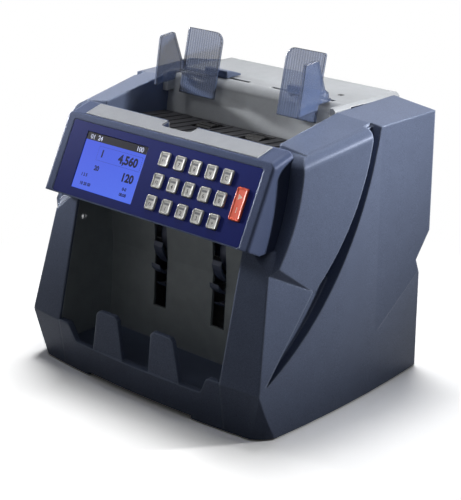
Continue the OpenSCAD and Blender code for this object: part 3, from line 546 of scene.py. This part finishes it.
rocker = {
    "pivot": (24.0, 101.0, 42.0), "swing": -8.0, "hollowR": 24.0, "hollowAt": 30.0,
    "signs": {"O": 4.3, "I": -4.3}, "size": 4.0, "inkLift": 0.06,
}


# on and off signs laid on the hollow face of the rocker: tangent to the circle at each sign's place
def makeSwitchSigns():
    turn = math.radians(rocker["swing"])
    spin = np.array([[math.cos(turn), math.sin(turn), 0], [-math.sin(turn), math.cos(turn), 0], [0, 0, 1]])
    skins = []
    for words, at in rocker["signs"].items():
        points, faces = lettering(words, rocker["size"])
        drop = math.sqrt(rocker["hollowR"] ** 2 - at ** 2)
        along = np.array([drop, at, 0]) / rocker["hollowR"]
        out = np.array([-at, drop, 0]) / rocker["hollowR"]
        face = np.array([at, rocker["hollowAt"] - drop, 0]) + out * rocker["inkLift"]
        laid = face - points[:, :1] * along + points[:, 1:] * np.array([0, 0, 1])
        skins.append((laid @ spin + rocker["pivot"], faces))
    makePiece("switchSigns", skins, ["switchInk"] * len(skins), "rocker")


makeSwitchSigns()
print("switch signs made")


stage = {
    "floorSize": 12.0, "paper": 2.05, "fibreScale": 40.0, "fibreBand": (0.2, 0.8), "fibreLow": 0.97,
    "whiteFrom": 0.15, "whiteFull": 0.38, "bounce": (60, 61, 63), "worldLevel": 0.075,
}


# 1 for rays from the camera, from gloss and through glass, 0 for bounced light
def seenRay(at):
    camera, gloss, glass = (at.node("ShaderNodeLightPath", {}, {}, f"Is {ray} Ray")
                            for ray in ("Camera", "Glossy", "Transmission"))
    return (camera + gloss + glass).math("MINIMUM", 1.0)


# paper floor: where it is seen, lit paper with the shadow near the object and even white far out;
# for bounced light, a dull grey
def setFloor():
    half = stage["floorSize"] / 2
    corners = [(-half, -half, 0), (half, -half, 0), (half, half, 0), (-half, half, 0)]
    mesh = bpy.data.meshes.new("floor")
    mesh.from_pydata(corners, [], [(0, 1, 2, 3)])
    floor = bpy.data.objects.new("floor", mesh)
    bpy.context.scene.collection.objects.link(floor)
    mat, at = newMaterial("floorPaper")
    reach = at.node("ShaderNodeVectorMath", {"operation": "LENGTH"}, {0: at}, "Value")
    fibre = noise(at, stage["fibreScale"]).ramp(*stage["fibreBand"])
    paper = fibre.mix(*((stage["paper"] * level,) * 3 + (1,) for level in (stage["fibreLow"], 1.0)))
    near = at.node("ShaderNodeBsdfDiffuse", {}, {"Color": paper})
    white = at.node("ShaderNodeEmission", {}, {"Strength": 1.0})
    far = reach.ramp(stage["whiteFrom"], stage["whiteFull"], "SMOOTHSTEP")
    dull = at.node("ShaderNodeBsdfDiffuse", {}, {"Color": tone(*stage["bounce"])})
    bright = at.node("ShaderNodeMixShader", {}, {0: far, 1: near, 2: white})
    both = at.node("ShaderNodeMixShader", {}, {0: seenRay(at), 1: dull, 2: bright})
    mesh.materials.append(close(mat, both))


# white where it is seen, dim as a light
def setWorld():
    world = bpy.data.worlds.new("studio")
    bpy.context.scene.world = world
    world.use_nodes = True
    world.node_tree.nodes.clear()
    end = world.node_tree.nodes.new("ShaderNodeOutputWorld")
    at = Sock(world.node_tree, None)
    dim, white = (at.node("ShaderNodeBackground", {}, {"Color": (1, 1, 1, 1), "Strength": level})
                  for level in (stage["worldLevel"], 1.0))
    both = at.node("ShaderNodeMixShader", {}, {0: seenRay(at), 1: dim, 2: white})
    world.node_tree.links.new(both.out, end.inputs["Surface"])


# places and sizes in metres, spread in degrees, power in watts
lamps = {
    "key": {
        "place": (-0.19, 0.29, 1.58), "aim": (0, 0, 0.1), "size": 0.6, "spread": 180, "power": 14.5,
    },
    "front": {
        "place": (-0.35, -0.9, 1.25), "aim": (0, 0.1, 0.36), "size": 0.2, "spread": 26, "power": 0.09,
    },
    "right": {
        "place": (0.95, 0.8, 0.6), "aim": (0.13, 0.02, 0.25), "size": 0.12, "spread": 23, "power": 0.43,
    },
    "left": {
        "place": (-1.3, -0.3, 0.5), "aim": (-0.12, -0.05, 0.31), "size": 0.12, "spread": 21, "power": 0.62,
    },
}


def setLamps():
    for name, lamp in lamps.items():
        data = bpy.data.lights.new(name, "AREA")
        data.shape, data.size, data.energy = "SQUARE", lamp["size"], lamp["power"]
        data.spread = math.radians(lamp["spread"])
        obj = bpy.data.objects.new(name, data)
        bpy.context.scene.collection.objects.link(obj)
        place = Vector(lamp["place"])
        turn = (Vector(lamp["aim"]) - place).to_track_quat("-Z", "Y")
        obj.matrix_world = Matrix.Translation(place) @ turn.to_matrix().to_4x4()


# focal length and picture height in pixels, sensor in mm
shot = {
    "place": (0.79827, -0.86643, 0.54286), "azimuth": 42.41, "elevation": 20.51,
    "focal": 1460.29, "height": 500, "sensor": 36.0,
}


def setCamera():
    az, el = math.radians(shot["azimuth"]), math.radians(shot["elevation"])
    back = Vector((math.sin(az) * math.cos(el), -math.cos(az) * math.cos(el), math.sin(el)))
    data = bpy.data.cameras.new("photoCamera")
    data.sensor_width = shot["sensor"]
    data.lens = shot["sensor"] * shot["focal"] / shot["height"]
    obj = bpy.data.objects.new("photoCamera", data)
    bpy.context.scene.collection.objects.link(obj)
    obj.matrix_world = Matrix.Translation(shot["place"]) @ back.to_track_quat("Z", "Y").to_matrix().to_4x4()
    bpy.context.scene.camera = obj


setFloor()
setWorld()
setLamps()
setCamera()
bpy.context.scene.view_settings.view_transform = "Standard"
print("stage, lamps and camera set")
